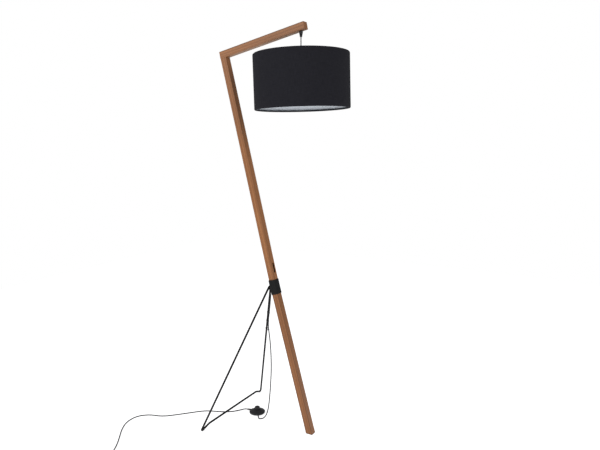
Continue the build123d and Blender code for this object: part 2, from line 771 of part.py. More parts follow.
def make_switch_base():
    plate = post(SWITCH_PAD, SWITCH_BASE - SWITCH_WALL, SWITCH_RADIUS)
    plate = fillet(plate.edges().sort_by(Axis.Z)[0], 1.0)
    plate += post(SWITCH_BASE - SWITCH_WALL, SWITCH_BASE, SWITCH_RADIUS - SWITCH_WALL - 0.2)
    for angle in PLACES_AROUND:
        plate -= Rot(0, 0, angle) * post(0, SWITCH_BASE + 1, SCREW_SHANK / 2 + FIT_GAP, x=SWITCH_SCREWS / 2)
        plate -= Rot(0, 0, angle) * post(0, SWITCH_PAD + 1.6, SCREW_HEAD / 2 + FIT_GAP, x=SWITCH_SCREWS / 2)
    return cut_for_boots(SWITCH * plate)


def cover_outline(inset, low):
    """Half outline of the cover's skin, from the rim up over the cone to the middle."""
    rim = SWITCH_RADIUS - inset
    crown = SWITCH_CROWN / 2
    return [
        (0, low),
        (rim, low),
        (rim, SWITCH_RIM - inset / 4),
        (rim - 1.5, SWITCH_RIM + 1.7 - inset * 0.75),
        (crown, SWITCH_TOP - inset),
        (0, SWITCH_TOP - inset),
    ]


def make_switch_cover():
    low = SWITCH_BASE - SWITCH_WALL
    outside = spun(cover_outline(0.0, low))
    cover = outside - spun(cover_outline(SWITCH_WALL, low - 1))
    cover -= post(0, SWITCH_TOP + 10, BUTTON_HOLE)
    for angle in PLACES_AROUND:
        pillar = post(SWITCH_BASE, SWITCH_TOP, PILLAR_RADIUS, x=SWITCH_SCREWS / 2)
        bore = post(SWITCH_BASE - 1, SCREW_REACH + 1, SCREW_SHANK / 2 + FIT_GAP, x=SWITCH_SCREWS / 2)
        turned = Rot(0, 0, angle)
        cover += turned * pillar & outside
        cover -= turned * bore
    return cut_for_boots(SWITCH * cover)


def cut_for_boots(shape):
    for place in boot_places():
        shape -= place * post(SWITCH_RADIUS - BOOT_INSET - 0.1, SWITCH_RADIUS + 5, BOOT_ROOT / 2 + 0.1)
    return shape


def make_boots():
    """Tapered strain reliefs where the lead goes in and out, with a collar inside the wall."""
    start = SWITCH_RADIUS - BOOT_INSET
    tip = SWITCH_RADIUS + BOOT_LENGTH
    boots = []
    for place in boot_places():
        boot = post(start, SWITCH_RADIUS + 1.0, BOOT_ROOT / 2)
        boot += cone(SWITCH_RADIUS + 1.0, tip, BOOT_ROOT / 2, BOOT_TIP / 2)
        boot -= post(start - 1, tip + 1, CORD / 2 + FIT_GAP)
        boots.append(place * boot)
    return Compound(children=boots)


def make_button():
    stem = post(BUTTON_FLANGE_LOW, BUTTON_TOP, BUTTON_DIAMETER / 2)
    stem = fillet(stem.edges().sort_by(Axis.Z)[-1], 2.2)
    stem += post(BUTTON_FLANGE_LOW, BUTTON_FLANGE_TOP, BUTTON_FLANGE)
    stem -= post(BUTTON_FLANGE_LOW - 1, BUTTON_TOP - 2.5, BUTTON_DIAMETER / 2 - 2.0)
    return SWITCH * stem


def make_switch_block():
    """The contact block on the base, with a cup that holds the spring."""
    block = post(SWITCH_BASE, BLOCK_TOP, BLOCK_RADIUS)
    block += post(BLOCK_TOP, BLOCK_TOP + 2.0, SPRING_RADIUS - 1.5)
    return SWITCH * block


def make_switch_spring():
    height = BUTTON_TOP - 2.5 - BLOCK_TOP
    pitch = height / (SPRING_TURNS + 1)
    helix = Helix(pitch, pitch * SPRING_TURNS, SPRING_RADIUS)
    coil = sweep(Plane(origin=helix @ 0, z_dir=helix % 0) * Circle(SPRING_WIRE / 2), path=helix, is_frenet=True)
    return SWITCH * Pos(0, 0, BLOCK_TOP + pitch / 2) * coil


def make_switch_screws():
    screw = post(SWITCH_PAD + 0.4, SWITCH_PAD + 1.6, SCREW_HEAD / 2)
    screw += post(SWITCH_PAD + 1.6, SCREW_REACH, SCREW_SHANK / 2)
    return Compound(children=[SWITCH * Rot(0, 0, a) * Pos(SWITCH_SCREWS / 2, 0, 0) * screw for a in PLACES_AROUND])


def make_switch_pads():
    pad = post(0, SWITCH_PAD, 5.0)
    return Compound(
        children=[SWITCH * Rot(0, 0, a + 40) * Pos(SWITCH_RADIUS * 0.7, 0, 0) * pad for a in PLACES_AROUND]
    )


# ---- Ties, coil and plug -------------------------------------------------------------------

# Where the lead is tied to the far leg, up the stand's plane
TIE_PLACES = (531.0, 480.0, 432.0)


def make_leg_ties(cord):
    """Bands round the far leg and the cord beside it."""
    ties = []
    lean = (STAND * Pos(0, leg_y(1), 1)).position - (STAND * Pos(0, leg_y(0), 0)).position
    for up in TIE_PLACES:
        centre = in_stand(leg_y(up), up)
        plane = Plane(origin=centre, z_dir=lean)
        slab = plane * Box(6 * CORD, 6 * CORD, 0.02)
        cut = cord & slab
        beside = plane.to_local_coords(cut.center())
        away = Vector(beside.X, beside.Y, 0)
        turn = math.degrees(math.atan2(away.Y, away.X))
        ring = make_tie_ring(away.length)
        ties.append(plane * Rot(0, 0, turn) * ring)
    return Compound(children=ties)


def make_tie_ring(distance):
    """A band round two circles, the leg at the origin and the cord at a distance along X."""

    def hull(grow):
        leg = Circle(ROD_RADIUS + grow)
        lead = Pos(distance, 0) * Circle(CORD / 2 + grow)
        return make_hull([*leg.edges(), *lead.edges()])

    band = extrude(hull(FIT_GAP + TIE_THICKNESS), TIE_WIDTH / 2, both=True)
    return band - extrude(hull(FIT_GAP), TIE_WIDTH, both=True)


COIL_END = Vector(*FLOOR_ROUTE[-1])
COIL_WAY = (Vector(*FLOOR_ROUTE[-1]) - Vector(*FLOOR_ROUTE[-2])).normalized()
COIL_SIDE = Vector(-COIL_WAY.Y, COIL_WAY.X, 0)
# The lead reaches the coil's outer turn along its tangent.
COIL_CENTRE = COIL_END + COIL_SIDE * (COIL_RADIUS + COIL_BAND / 4)
COIL = Location((COIL_CENTRE.X, COIL_CENTRE.Y, 0))


def coil_section(grow):
    """Outline of the wound turns, a rounded rectangle grown by a distance."""
    size = (COIL_BAND + 2 * grow, COIL_HEIGHT + 2 * grow)
    middle = COIL_LIFT + COIL_HEIGHT / 2
    return Plane.XZ * Pos(COIL_RADIUS, middle) * RectangleRounded(*size, COIL_HEIGHT / 4)


def make_coil(cords):
    coil = COIL * revolve(coil_section(0), Axis.Z)
    for cord in cords:
        coil -= cord
    return coil


def make_coil_tie():
    """A strap round the turns, on the side away from the cord's two ends."""
    turn = math.degrees(math.atan2(COIL_SIDE.Y, COIL_SIDE.X))
    strap = revolve(coil_section(TIE_THICKNESS - FIT_GAP), Axis.Z, revolution_arc=TIE_ARC)
    strap -= revolve(coil_section(FIT_GAP), Axis.Z)
    return COIL * Rot(0, 0, turn - TIE_ARC / 2) * strap


# The lead leaves the coil along its outer turn and runs straight to the plug.
TAIL_PLACE = COIL * Rot(0, 0, TAIL_TURN) * Pos(0, -COIL_RADIUS - COIL_BAND / 4, CORD / 2 + 0.1)
TAIL_FRAME = TAIL_PLACE * Rot(0, 90, 0)
PLUG_FRAME = TAIL_PLACE * Pos(TAIL_LENGTH, 0, 0)


def make_tail():
    """The last of the cord, up to the middle of the plug's strain relief."""
    return TAIL_FRAME * post(0, TAIL_LENGTH + RELIEF_LENGTH * 0.6, CORD / 2)


def make_relief():
    tip = TAIL_FRAME * cone(TAIL_LENGTH, TAIL_LENGTH + RELIEF_LENGTH, BOOT_TIP / 2, RELIEF_ROOT / 2)
    sole = below(Location((0, 0, 0)))
    return tip - TAIL_FRAME * post(0, TAIL_LENGTH + RELIEF_LENGTH * 0.6, CORD / 2 + FIT_GAP) - sole


def make_plug():
    """A flat two-pin plug body with a waist where it is held."""
    frame = PLUG_FRAME * Pos(RELIEF_LENGTH, 0, PLUG_THICKNESS / 2 - CORD / 2 - 0.1)
    narrow = PLUG_WIDTH * 0.36
    half = PLUG_WIDTH / 2
    outline = Polyline(
        (0, -narrow / 2),
        (PLUG_LENGTH * 0.3, -narrow / 2 - 1),
        (PLUG_LENGTH * 0.72, -half),
        (PLUG_LENGTH, -half),
        (PLUG_LENGTH, half),
        (PLUG_LENGTH * 0.72, half),
        (PLUG_LENGTH * 0.3, narrow / 2 + 1),
        (0, narrow / 2),
        close=True,
    )
    body = extrude(make_face(outline), PLUG_THICKNESS / 2, both=True)
    body = fillet(body.edges().filter_by(Axis.Z), 2.5)
    body = chamfer(body.edges().group_by(Axis.Z)[-1] + body.edges().group_by(Axis.Z)[0], 1.5)
    body = frame * body
    for pin in pins(FIT_GAP):
        body -= pin
    return body


def pins(gap=0.0):
    """Two round pins, set a third of their length into the plug."""
    frame = PLUG_FRAME * Pos(RELIEF_LENGTH + PLUG_LENGTH, 0, PLUG_THICKNESS / 2 - CORD / 2 - 0.1) * Rot(0, 90, 0)
    root = PIN_LENGTH / 3
    pair = []
    for side in (-1, 1):
        pin = post(-root - gap, 1.0, PIN_ROOT / 2 + gap, y=side * PIN_SPACING / 2)
        if gap == 0.0:
            shank = post(0, PIN_LENGTH, PIN_DIAMETER / 2, y=side * PIN_SPACING / 2)
            pin += fillet(shank.edges().sort_by(Axis.Z)[-1], PIN_DIAMETER * 0.3)
        pair.append(frame * pin)
    return pair


# ---- Build everything ----------------------------------------------------------------------

os.makedirs("parts", exist_ok=True)

drop = cord_tube("cord_drop", DROP_ROUTE)
floor = cord_tube("cord_floor", FLOOR_ROUTE)
head = make_head()
inner_cord = make_inner_cord()

save("lower_pole", make_lower_pole())
save("upper_pole", make_upper_pole())
save("arm", make_arm())
save("arm_strip", make_strip())
save("arm_dowels", Compound(children=dowels()))
save("foot_pad", make_foot_pad())
save("collar", make_collar())
save("collar_screws", make_collar_screws())
save("cord_grommet", make_grommet())
save("stand_head", head)
save("stand_lug", make_lug(head))
save("stand_leg_near", make_leg(-1))
save("stand_leg_far", make_leg(1))
save("stand_crossbar", make_crossbar())
save("inner_cord", inner_cord)
save("arm_grip", make_grip(inner_cord))
save("pendant_cord", make_pendant_cord())
save("holder_clamp", LAMP * make_clamp())
save("holder_cap", LAMP * make_cap())
save("holder_skirt", LAMP * make_skirt())
save("holder_ring", LAMP * make_holder_ring())
save("holder_insert", LAMP * make_insert())
save("holder_contact", LAMP * make_holder_contact())
save("bulb_tip", LAMP * make_bulb_tip())
save("bulb_cap", LAMP * make_bulb_cap())
save("bulb_body", LAMP * make_bulb_body())
save("bulb_dome", LAMP * make_bulb_dome())
save("shade_fabric", LAMP * drum(SHADE_RADIUS, LINING_OUTER))
save("shade_lining", LAMP * drum(LINING_OUTER, LINING_INNER))
save("shade_hem_top", LAMP * make_hem(True))
save("shade_hem_bottom", LAMP * make_hem(False))
save("shade_spider", LAMP * make_spider())
save("shade_hoop_top", LAMP * make_hoop(True))
save("shade_hoop_bottom", LAMP * make_hoop(False))
save("switch_base", make_switch_base())
save("switch_cover", make_switch_cover())
save("switch_boots", make_boots())
save("switch_button", make_button())
save("switch_block", make_switch_block())
save("switch_spring", make_switch_spring())
save("switch_screws", make_switch_screws())
save("switch_pads", make_switch_pads())
save("cord_drop", drop)
save("cord_floor", floor)
save("leg_ties", make_leg_ties(drop))
save("cord_coil", make_coil([floor, make_tail()]))
save("coil_tie", make_coil_tie())
save("cord_tail", make_tail())
save("plug_body", make_plug())
save("plug_pins", pins())
save("plug_relief", make_relief())
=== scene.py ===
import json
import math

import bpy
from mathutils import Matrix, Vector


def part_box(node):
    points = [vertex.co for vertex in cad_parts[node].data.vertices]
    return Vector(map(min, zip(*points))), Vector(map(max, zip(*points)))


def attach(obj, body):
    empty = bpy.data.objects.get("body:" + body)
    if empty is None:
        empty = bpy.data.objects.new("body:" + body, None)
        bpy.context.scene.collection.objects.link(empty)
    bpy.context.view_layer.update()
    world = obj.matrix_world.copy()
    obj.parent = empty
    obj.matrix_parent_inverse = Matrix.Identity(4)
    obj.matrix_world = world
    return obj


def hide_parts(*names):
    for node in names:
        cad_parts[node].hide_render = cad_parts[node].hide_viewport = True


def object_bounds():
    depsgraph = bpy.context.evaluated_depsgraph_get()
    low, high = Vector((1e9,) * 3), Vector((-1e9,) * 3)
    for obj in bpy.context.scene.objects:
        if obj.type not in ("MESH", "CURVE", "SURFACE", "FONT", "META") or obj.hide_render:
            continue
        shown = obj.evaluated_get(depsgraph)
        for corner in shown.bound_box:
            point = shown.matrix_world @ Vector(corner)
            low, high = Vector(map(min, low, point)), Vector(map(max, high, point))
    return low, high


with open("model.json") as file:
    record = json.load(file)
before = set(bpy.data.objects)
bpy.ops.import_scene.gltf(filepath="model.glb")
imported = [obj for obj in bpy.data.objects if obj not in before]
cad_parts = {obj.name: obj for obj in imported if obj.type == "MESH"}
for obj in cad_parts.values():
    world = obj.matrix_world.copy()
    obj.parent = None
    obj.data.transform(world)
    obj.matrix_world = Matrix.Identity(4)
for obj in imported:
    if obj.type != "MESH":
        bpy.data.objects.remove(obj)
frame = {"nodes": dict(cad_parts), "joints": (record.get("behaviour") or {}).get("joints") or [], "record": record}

# %% [markdown]
# ## A leaning floor lamp
# The imported model gives the poles, the collar, the bent-rod stand, the lampholder and the foot
# switch at their true sizes. This file adds what a solid can't show: wood grain, a woven shade
# with rolled edges, a twisted pendant cord, a lead that lies on the floor, paint and moulded
# plastic. The size of the solids' box is worked out first, and the lights aim at its middle. The
# looks must not outgrow it.

MM = 0.001
nodes = frame["nodes"]
record = frame["record"]
joints = {joint["name"]: joint for joint in frame["joints"]}
cad_low, cad_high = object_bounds()
print("the solids reach from", [round(v, 3) for v in cad_low], "to", [round(v, 3) for v in cad_high])

# %% [markdown]
# ### The camera
# A catalogue view of a tall lamp is taken from about chest height, a little to one side, with a
# moderately wide lens. The camera is set by where it stands, how far it is turned and how far it
# looks down, so each number means one thing. It has no shift and no depth of field.

# %% The camera
CAMERA_PLACE = (1.163084, -2.108003, 1.321746)
CAMERA_TURN = math.radians(30.02)  # from looking along +Y, towards -X
CAMERA_DOWN = math.radians(8.85)
CAMERA_LENS = 34.40

camera_data = bpy.data.cameras.new("view")
camera_data.lens = CAMERA_LENS
camera_data.sensor_width = 36.0
camera_data.clip_start = 0.05
camera_data.clip_end = 60.0
camera = bpy.data.objects.new("view", camera_data)
camera.location = CAMERA_PLACE
camera.rotation_euler = (math.pi / 2 - CAMERA_DOWN, 0.0, CAMERA_TURN)
bpy.context.scene.collection.objects.link(camera)
bpy.context.scene.camera = camera

# %% [markdown]
# ### The mains lead
# The lead is one length of braided cable with a foot switch in it. It could be a mesh tube, but
# a curve with a round bevel keeps the route editable and its length is easy to measure. The
# route is a list of given points, the same ones that the solid model's tubes follow,
# and a quadratic NURBS spline rounds them into one easy line. It leaves the collar's back, runs
# down the far leg, hangs to the switch, and crosses the floor to a wound coil and the plug.

# %% The lead from the collar to the switch, and on over the floor
CORD = 5.0 * MM

DROP_ROUTE = [
    (-0.1979, 0, 0.6273),
    (-0.2095, 0, 0.6239),
    (-0.2166, 0.0125, 0.613),
    (-0.2215, 0.0214, 0.6),
    (-0.2317, 0.0323, 0.57),
    (-0.2449, 0.0473, 0.53),
    (-0.2607, 0.0632, 0.485),
    (-0.2753, 0.0796, 0.44),
    (-0.2795, 0.091, 0.402),
    (-0.279, 0.1, 0.355),
    (-0.269, 0.093, 0.288),
    (-0.259, 0.079, 0.216),
    (-0.2535, 0.063, 0.146),
    (-0.25, 0.0475, 0.084),
    (-0.248, 0.034, 0.042),
    (-0.2484, 0.019, 0.0165),
    (-0.252, 0.003, 0.0056),
    (-0.26, -0.0095, 0.0042),
    (-0.269, -0.017, 0.006),
    (-0.27535, -0.0106, 0.0075),
    (-0.2849, 0.00118, 0.0075),
]
FLOOR_ROUTE = [
    (-0.36802, 0.03226, 0.0075),
    (-0.37787, 0.03052, 0.0075),
    (-0.3895, 0.023, 0.005),
    (-0.404, 0.006, 0.0028),
    (-0.421, -0.0145, 0.0026),
    (-0.448, -0.0365, 0.0026),
    (-0.489, -0.054, 0.0026),
    (-0.543, -0.076, 0.0026),
    (-0.592, -0.129, 0.0026),
    (-0.636, -0.178, 0.0026),
    (-0.684, -0.225, 0.0026),
    (-0.748, -0.24, 0.0026),
    (-0.791, -0.284, 0.0026),
    (-0.789, -0.348, 0.0026),
    (-0.757, -0.406, 0.0026),
    (-0.712, -0.461, 0.0026),
    (-0.668, -0.518, 0.0026),
    (-0.634, -0.58, 0.0026),
    (-0.612, -0.64, 0.0026),
]


def cord_curve(name, points, thickness):
    """A round cord on one smooth spline."""
    curve = bpy.data.curves.new(name, "CURVE")
    curve.dimensions = "3D"
    curve.resolution_u = 10
    curve.bevel_depth = 1.0  # times each point's own radius, so the curve's box is the cord's
    curve.bevel_resolution = 5
    curve.use_fill_caps = True
    spline = curve.splines.new("NURBS")
    spline.points.add(len(points) - 1)
    for control, place in zip(spline.points, points):
        control.co = (*place, 1.0)
        control.radius = thickness / 2
    spline.order_u = 3
    spline.use_endpoint_u = True
    made = bpy.data.objects.new(name, curve)
    bpy.context.scene.collection.objects.link(made)
    return made


def line_of(made):
    """The points along a curve's own line, without its bevel."""
    bare = made.data.copy()
    bare.bevel_depth = 0.0
    probe = bpy.data.objects.new("probe", bare)
    bpy.context.scene.collection.objects.link(probe)
    bpy.context.view_layer.update()
    mesh = bpy.data.meshes.new_from_object(probe.evaluated_get(bpy.context.evaluated_depsgraph_get()))
    points = [vertex.co.copy() for vertex in mesh.vertices]
    bpy.data.objects.remove(probe)
    bpy.data.curves.remove(bare)
    bpy.data.meshes.remove(mesh)
    return points


def length_of(points):
    return sum((b - a).length for a, b in zip(points, points[1:]))


# %% [markdown]
# ### The wound coil
# The spare lead is put away as a neat coil of two layers, held by a strap. Its turns are more
# points of the lead's own spline, worked out by a loop: each turn steps inward, then up, then
# outward again, and the last one leaves along a tangent to the plug. A quadratic spline runs a
# little inside its points, so they stand out by the same share.

# %% The coil's turns and the tail
COIL_OUTER = 32.5 * MM
COIL_INNER = 27.5 * MM
COIL_LOWER = 3.7 * MM
COIL_UPPER = 8.3 * MM
POINTS_PER_TURN = 18
STEP_SHARE = 0.18  # share of a turn in which the cord moves over to its next place

coil_low, coil_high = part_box("cord_coil")
coil_centre = (coil_low + coil_high) / 2
entry = Vector(FLOOR_ROUTE[-1]) - coil_centre
entry_angle = math.atan2(entry.y, entry.x)
TAIL_ANGLE = -math.pi / 2
# Places of the cord in the wound turns, as (turn, radius, height)
PLACES = [
    (0.0, COIL_OUTER, 2.7 * MM),
    (0.12, COIL_OUTER, COIL_LOWER),
    (1.0 - STEP_SHARE, COIL_OUTER, COIL_LOWER),
    (1.0, COIL_INNER, COIL_LOWER),
    (2.0 - STEP_SHARE, COIL_INNER, COIL_LOWER),
    (2.0, COIL_INNER, COIL_UPPER),
    (3.0 - STEP_SHARE, COIL_INNER, COIL_UPPER),
    (3.0, COIL_OUTER, COIL_UPPER),
    (9.0, COIL_OUTER, COIL_UPPER),
]
whole_turns = 3.0 + ((TAIL_ANGLE - entry_angle) % (2 * math.pi)) / (2 * math.pi)


def coil_place(turn):
    """Radius and height of the cord at a turn of the coil."""
    for (start, r0, z0), (end, r1, z1) in zip(PLACES, PLACES[1:]):
        if turn <= end:
            share = (turn - start) / (end - start)
            return r0 + (r1 - r0) * share, z0 + (z1 - z0) * share
    return PLACES[-1][1:]


coil_points = []
spread = 1.0 / math.cos(math.pi / POINTS_PER_TURN)
for step in range(1, int(whole_turns * POINTS_PER_TURN)):
    turn = step / POINTS_PER_TURN
    radius, height = coil_place(turn)
    angle = entry_angle + turn * 2 * math.pi
    x = coil_centre.x + radius * spread * math.cos(angle)
    y = coil_centre.y + radius * spread * math.sin(angle)
    coil_points.append((x, y, height))

# The tail leaves along the outer turn, comes down clear of it, and enters the strain relief.
relief_low, relief_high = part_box("plug_relief")
relief_y = (relief_low.y + relief_high.y) / 2
TAIL = [(0.0, 8.3), (9.0, 7.9), (18.0, 6.0), (26.0, 3.6), (36.0, 2.6), (46.0, 2.6)]  # along, height
tail_points = []
for along, height in TAIL:
    tail_points.append((coil_centre.x + along * MM, relief_y, height * MM))

drop_cord = cord_curve("lead_to_switch", DROP_ROUTE, CORD)
floor_cord = cord_curve("lead_to_plug", FLOOR_ROUTE + coil_points + tail_points, CORD)
drop_length = length_of(line_of(drop_cord))
floor_length = length_of(line_of(floor_cord))
print("lead, collar to switch", round(drop_length, 4), "m; switch to plug", round(floor_length, 4), "m")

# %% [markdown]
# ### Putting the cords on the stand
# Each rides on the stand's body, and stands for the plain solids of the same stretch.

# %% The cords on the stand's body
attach(drop_cord, "stand")
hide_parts("cord_drop")

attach(floor_cord, "stand")
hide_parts("cord_floor", "cord_coil", "cord_tail")

# %% [markdown]
# ### The stage
# The lamp stands on a plain white studio floor under a broad, even light, so its shadows are
# faint. The world gives the even light. One large soft light at the front left makes the pole's
# near face brighter than its side, and a weaker one at the right keeps the shade from going flat.

# %% Floor and light
scene = bpy.context.scene
scene.view_settings.view_transform = "Standard"
scene.view_settings.look = "None"

FLOOR_SIZE = 7.0
FLOOR_DROP = 0.3 * MM  # keeps the floor's face off the feet

floor_mesh = bpy.data.meshes.new("floor")
half = FLOOR_SIZE / 2
corners = [(x * half, y * half, -FLOOR_DROP) for x, y in ((-1, -1), (1, -1), (1, 1), (-1, 1))]
floor_mesh.from_pydata(corners, [], [(0, 1, 2, 3)])
floor = bpy.data.objects.new("floor", floor_mesh)
scene.collection.objects.link(floor)

floor_paint = bpy.data.materials.new("studio_white")
floor_paint.use_nodes = True
floor_shader = floor_paint.node_tree.nodes["Principled BSDF"]
floor_shader.inputs["Base Color"].default_value = (0.86, 0.86, 0.86, 1.0)
floor_shader.inputs["Roughness"].default_value = 0.9
floor_shader.inputs["Emission Color"].default_value = (1.0, 1.0, 1.0, 1.0)
floor_shader.inputs["Emission Strength"].default_value = 0.70
floor_mesh.materials.append(floor_paint)

world = bpy.data.worlds.new("studio")
world.use_nodes = True
scene.world = world
world_nodes = world.node_tree.nodes
world_links = world.node_tree.links
seen = world_nodes["Background"]
seen.inputs["Color"].default_value = (1.0, 1.0, 1.0, 1.0)
seen.inputs["Strength"].default_value = 1.0
lighting = world_nodes.new("ShaderNodeBackground")
lighting.inputs["Color"].default_value = (0.97, 0.985, 1.0, 1.0)
lighting.inputs["Strength"].default_value = 0.40
path = world_nodes.new("ShaderNodeLightPath")
choose = world_nodes.new("ShaderNodeMixShader")
world_links.new(path.outputs["Is Camera Ray"], choose.inputs[0])
world_links.new(lighting.outputs[0], choose.inputs[1])
world_links.new(seen.outputs[0], choose.inputs[2])
world_links.new(choose.outputs[0], world_nodes["World Output"].inputs["Surface"])

LIGHTS = {
    # name: place, power in watts, width in metres
    "front_left": ((-2.2, -3.4, 2.9), 88.0, 2.4),
    "front_right": ((3.4, -1.6, 2.6), 56.0, 1.8),
}
aim = (cad_low + cad_high) / 2
for name, (place, power, width) in LIGHTS.items():
    lamp = bpy.data.lights.new(name, "AREA")
    lamp.energy = power
    lamp.size = width
    holder = bpy.data.objects.new(name, lamp)
    holder.location = place
    holder.rotation_euler = (aim - Vector(place)).to_track_quat("-Z", "Y").to_euler()
    scene.collection.objects.link(holder)

# %% [markdown]
# ### A bench of small shader helpers
# Each finish below is a node tree. Four helpers keep those trees short: one places a node and
# fills its inputs, one does arithmetic, one mixes two colours and one remaps a range.

# %% Shader helpers


def feed(tree, socket, value):
    """Link a socket, or set its value."""
    if isinstance(value, bpy.types.NodeSocket):
        tree.links.new(value, socket)
    else:
        socket.default_value = value


def place_node(tree, kind, inputs=None, **settings):
    node = tree.nodes.new(kind)
    for key, value in settings.items():
        setattr(node, key, value)
    for key, value in (inputs or {}).items():
        feed(tree, node.inputs[key], value)
    return node


def maths(tree, operation, *values):
    node = place_node(tree, "ShaderNodeMath", operation=operation)
    for socket, value in zip(node.inputs, values):
        feed(tree, socket, value)
    return node.outputs[0]


def mix_colours(tree, share, first, second, way="MIX"):
    node = place_node(tree, "ShaderNodeMix", data_type="RGBA", blend_type=way)
    feed(tree, node.inputs[0], share)
    feed(tree, node.inputs[6], first)
    feed(tree, node.inputs[7], second)
    return node.outputs[2]


def remap(tree, value, low, high, to_low=0.0, to_high=1.0):
    inputs = {"Value": value, "From Min": low, "From Max": high, "To Min": to_low, "To Max": to_high}
    return place_node(tree, "ShaderNodeMapRange", inputs).outputs[0]


def noise(tree, vector, scale, detail=2.0, roughness=0.5):
    inputs = {"Vector": vector, "Scale": scale, "Detail": detail, "Roughness": roughness}
    return place_node(tree, "ShaderNodeTexNoise", inputs).outputs["Fac"]


def scaled(tree, vector, factors):
    """A vector stretched by three factors."""
    return place_node(tree, "ShaderNodeVectorMath", {0: vector, 1: factors}, operation="MULTIPLY").outputs[0]


def colour(red, green, blue):
    return (red, green, blue, 1.0)


def part_of(tone, share):
    """A colour scaled by a share, with full opacity."""
    return colour(*[v * share for v in tone[:3]])


def new_group(name, inputs, outputs):
    """A node group with named float and vector sockets, and its two end nodes."""
    group = bpy.data.node_groups.new(name, "ShaderNodeTree")
    for label, value in inputs.items():
        kind = "NodeSocketVector" if value is None else "NodeSocketFloat"
        socket = group.interface.new_socket(name=label, in_out="INPUT", socket_type=kind)
        if value is not None:
            socket.default_value = value
    for label in outputs:
        group.interface.new_socket(name=label, in_out="OUTPUT", socket_type="NodeSocketFloat")
    return group, group.nodes.new("NodeGroupInput"), group.nodes.new("NodeGroupOutput")


def use_group(tree, group, **inputs):
    node = place_node(tree, "ShaderNodeGroup", node_tree=group)
    for label, value in inputs.items():
        feed(tree, node.inputs[label.replace("_", " ")], value)
    return node.outputs


def new_finish(name, roughness=0.5, **settings):
    """A material, its node tree and its shader."""
    material = bpy.data.materials.new(name)
    material.use_nodes = True
    shader = material.node_tree.nodes["Principled BSDF"]
    shader.inputs["Roughness"].default_value = roughness
    for label, value in settings.items():
        shader.inputs[label.replace("_", " ")].default_value = value
    return material, material.node_tree, shader


def raise_surface(tree, shader, height, strength, distance):
    """Feed a height to the shader's normal."""
    inputs = {"Height": height, "Strength": strength, "Distance": distance}
    bump = place_node(tree, "ShaderNodeBump", inputs)
    tree.links.new(bump.outputs["Normal"], shader.inputs["Normal"])


# %% [markdown]
# ### Straight grain
# The pole and the arm are planed from a straight-grained, reddish timber. On the long faces the
# growth rings show as stripes that wander slowly, and on a sawn end they show as arcs. One solid
# pattern gives both: rings about a pith that lies outside the timber, stretched along it. Finer
# fibres and short dark pores lie along the same direction. The group works in a frame whose Z
# runs along the timber, in metres.

# %% The grain group
grain_group, given, result = new_group(
    "straight_grain",
    {"Vector": None, "Ring Scale": 34.0, "Wander": 3.0, "Pith": 0.05},
    ["Ring", "Fibre", "Pore", "Cloud"],
)
ring_vector = scaled(grain_group, given.outputs["Vector"], (1.0, 1.0, 0.028))
pith = place_node(grain_group, "ShaderNodeCombineXYZ", {"X": given.outputs["Pith"], "Y": 0.071, "Z": 0.0})
moved = place_node(grain_group, "ShaderNodeVectorMath", {0: ring_vector, 1: pith.outputs[0]}, operation="ADD")
rings = place_node(
    grain_group,
    "ShaderNodeTexWave",
    {"Vector": moved.outputs[0], "Scale": given.outputs["Ring Scale"], "Distortion": given.outputs["Wander"],
     "Detail": 2.0, "Detail Scale": 1.3, "Detail Roughness": 0.55},
    wave_type="RINGS",
    rings_direction="Z",
)
grain_group.links.new(rings.outputs["Fac"], result.inputs["Ring"])
fibre_vector = scaled(grain_group, given.outputs["Vector"], (1.0, 1.0, 0.02))
fibre = noise(grain_group, fibre_vector, 1100.0, 3.0, 0.6)
grain_group.links.new(fibre, result.inputs["Fibre"])
pore_vector = scaled(grain_group, given.outputs["Vector"], (1.0, 1.0, 0.07))
pore = remap(grain_group, noise(grain_group, pore_vector, 1500.0, 1.0), 0.62, 0.72)
grain_group.links.new(pore, result.inputs["Pore"])
cloud_vector = scaled(grain_group, given.outputs["Vector"], (1.0, 1.0, 0.22))
grain_group.links.new(noise(grain_group, cloud_vector, 21.0, 3.0), result.inputs["Cloud"])

# %% [markdown]
# ### Handled edges
# Oil and hands darken a timber along its long edges. The mask is worked out from the timber's
# own square section: it rises where a point is near the corner of the square, so it needs no
# painted map and follows the piece through every pose.

# %% The edge group
edge_inputs = {"Vector": None, "Half": 0.015, "Width": 0.0035}
edge_group, given, result = new_group("timber_edge", edge_inputs, ["Edge"])
parts = place_node(edge_group, "ShaderNodeSeparateXYZ", {0: given.outputs["Vector"]})
across = maths(edge_group, "ABSOLUTE", parts.outputs["X"])
beside = maths(edge_group, "ABSOLUTE", parts.outputs["Y"])
nearer = maths(edge_group, "MINIMUM", across, beside)
inner = maths(edge_group, "SUBTRACT", given.outputs["Half"], given.outputs["Width"])
edge = remap(edge_group, nearer, inner, given.outputs["Half"])
uneven = noise(edge_group, scaled(edge_group, given.outputs["Vector"], (1.0, 1.0, 0.12)), 120.0, 2.0)
edge = maths(edge_group, "MULTIPLY", edge, remap(edge_group, uneven, 0.3, 0.6, 0.45, 1.0))
edge_group.links.new(edge, result.inputs["Edge"])

# %% [markdown]
# ### Oiled timber
# The finish mixes an early-wood and a late-wood colour by ring and fibre, darkens pores and
# edges, and lets the oil's gloss follow the fibres. The same function makes the lower pole, the
# upper pole and the arm, each with the frame it lies in, so that the grain runs along each one.

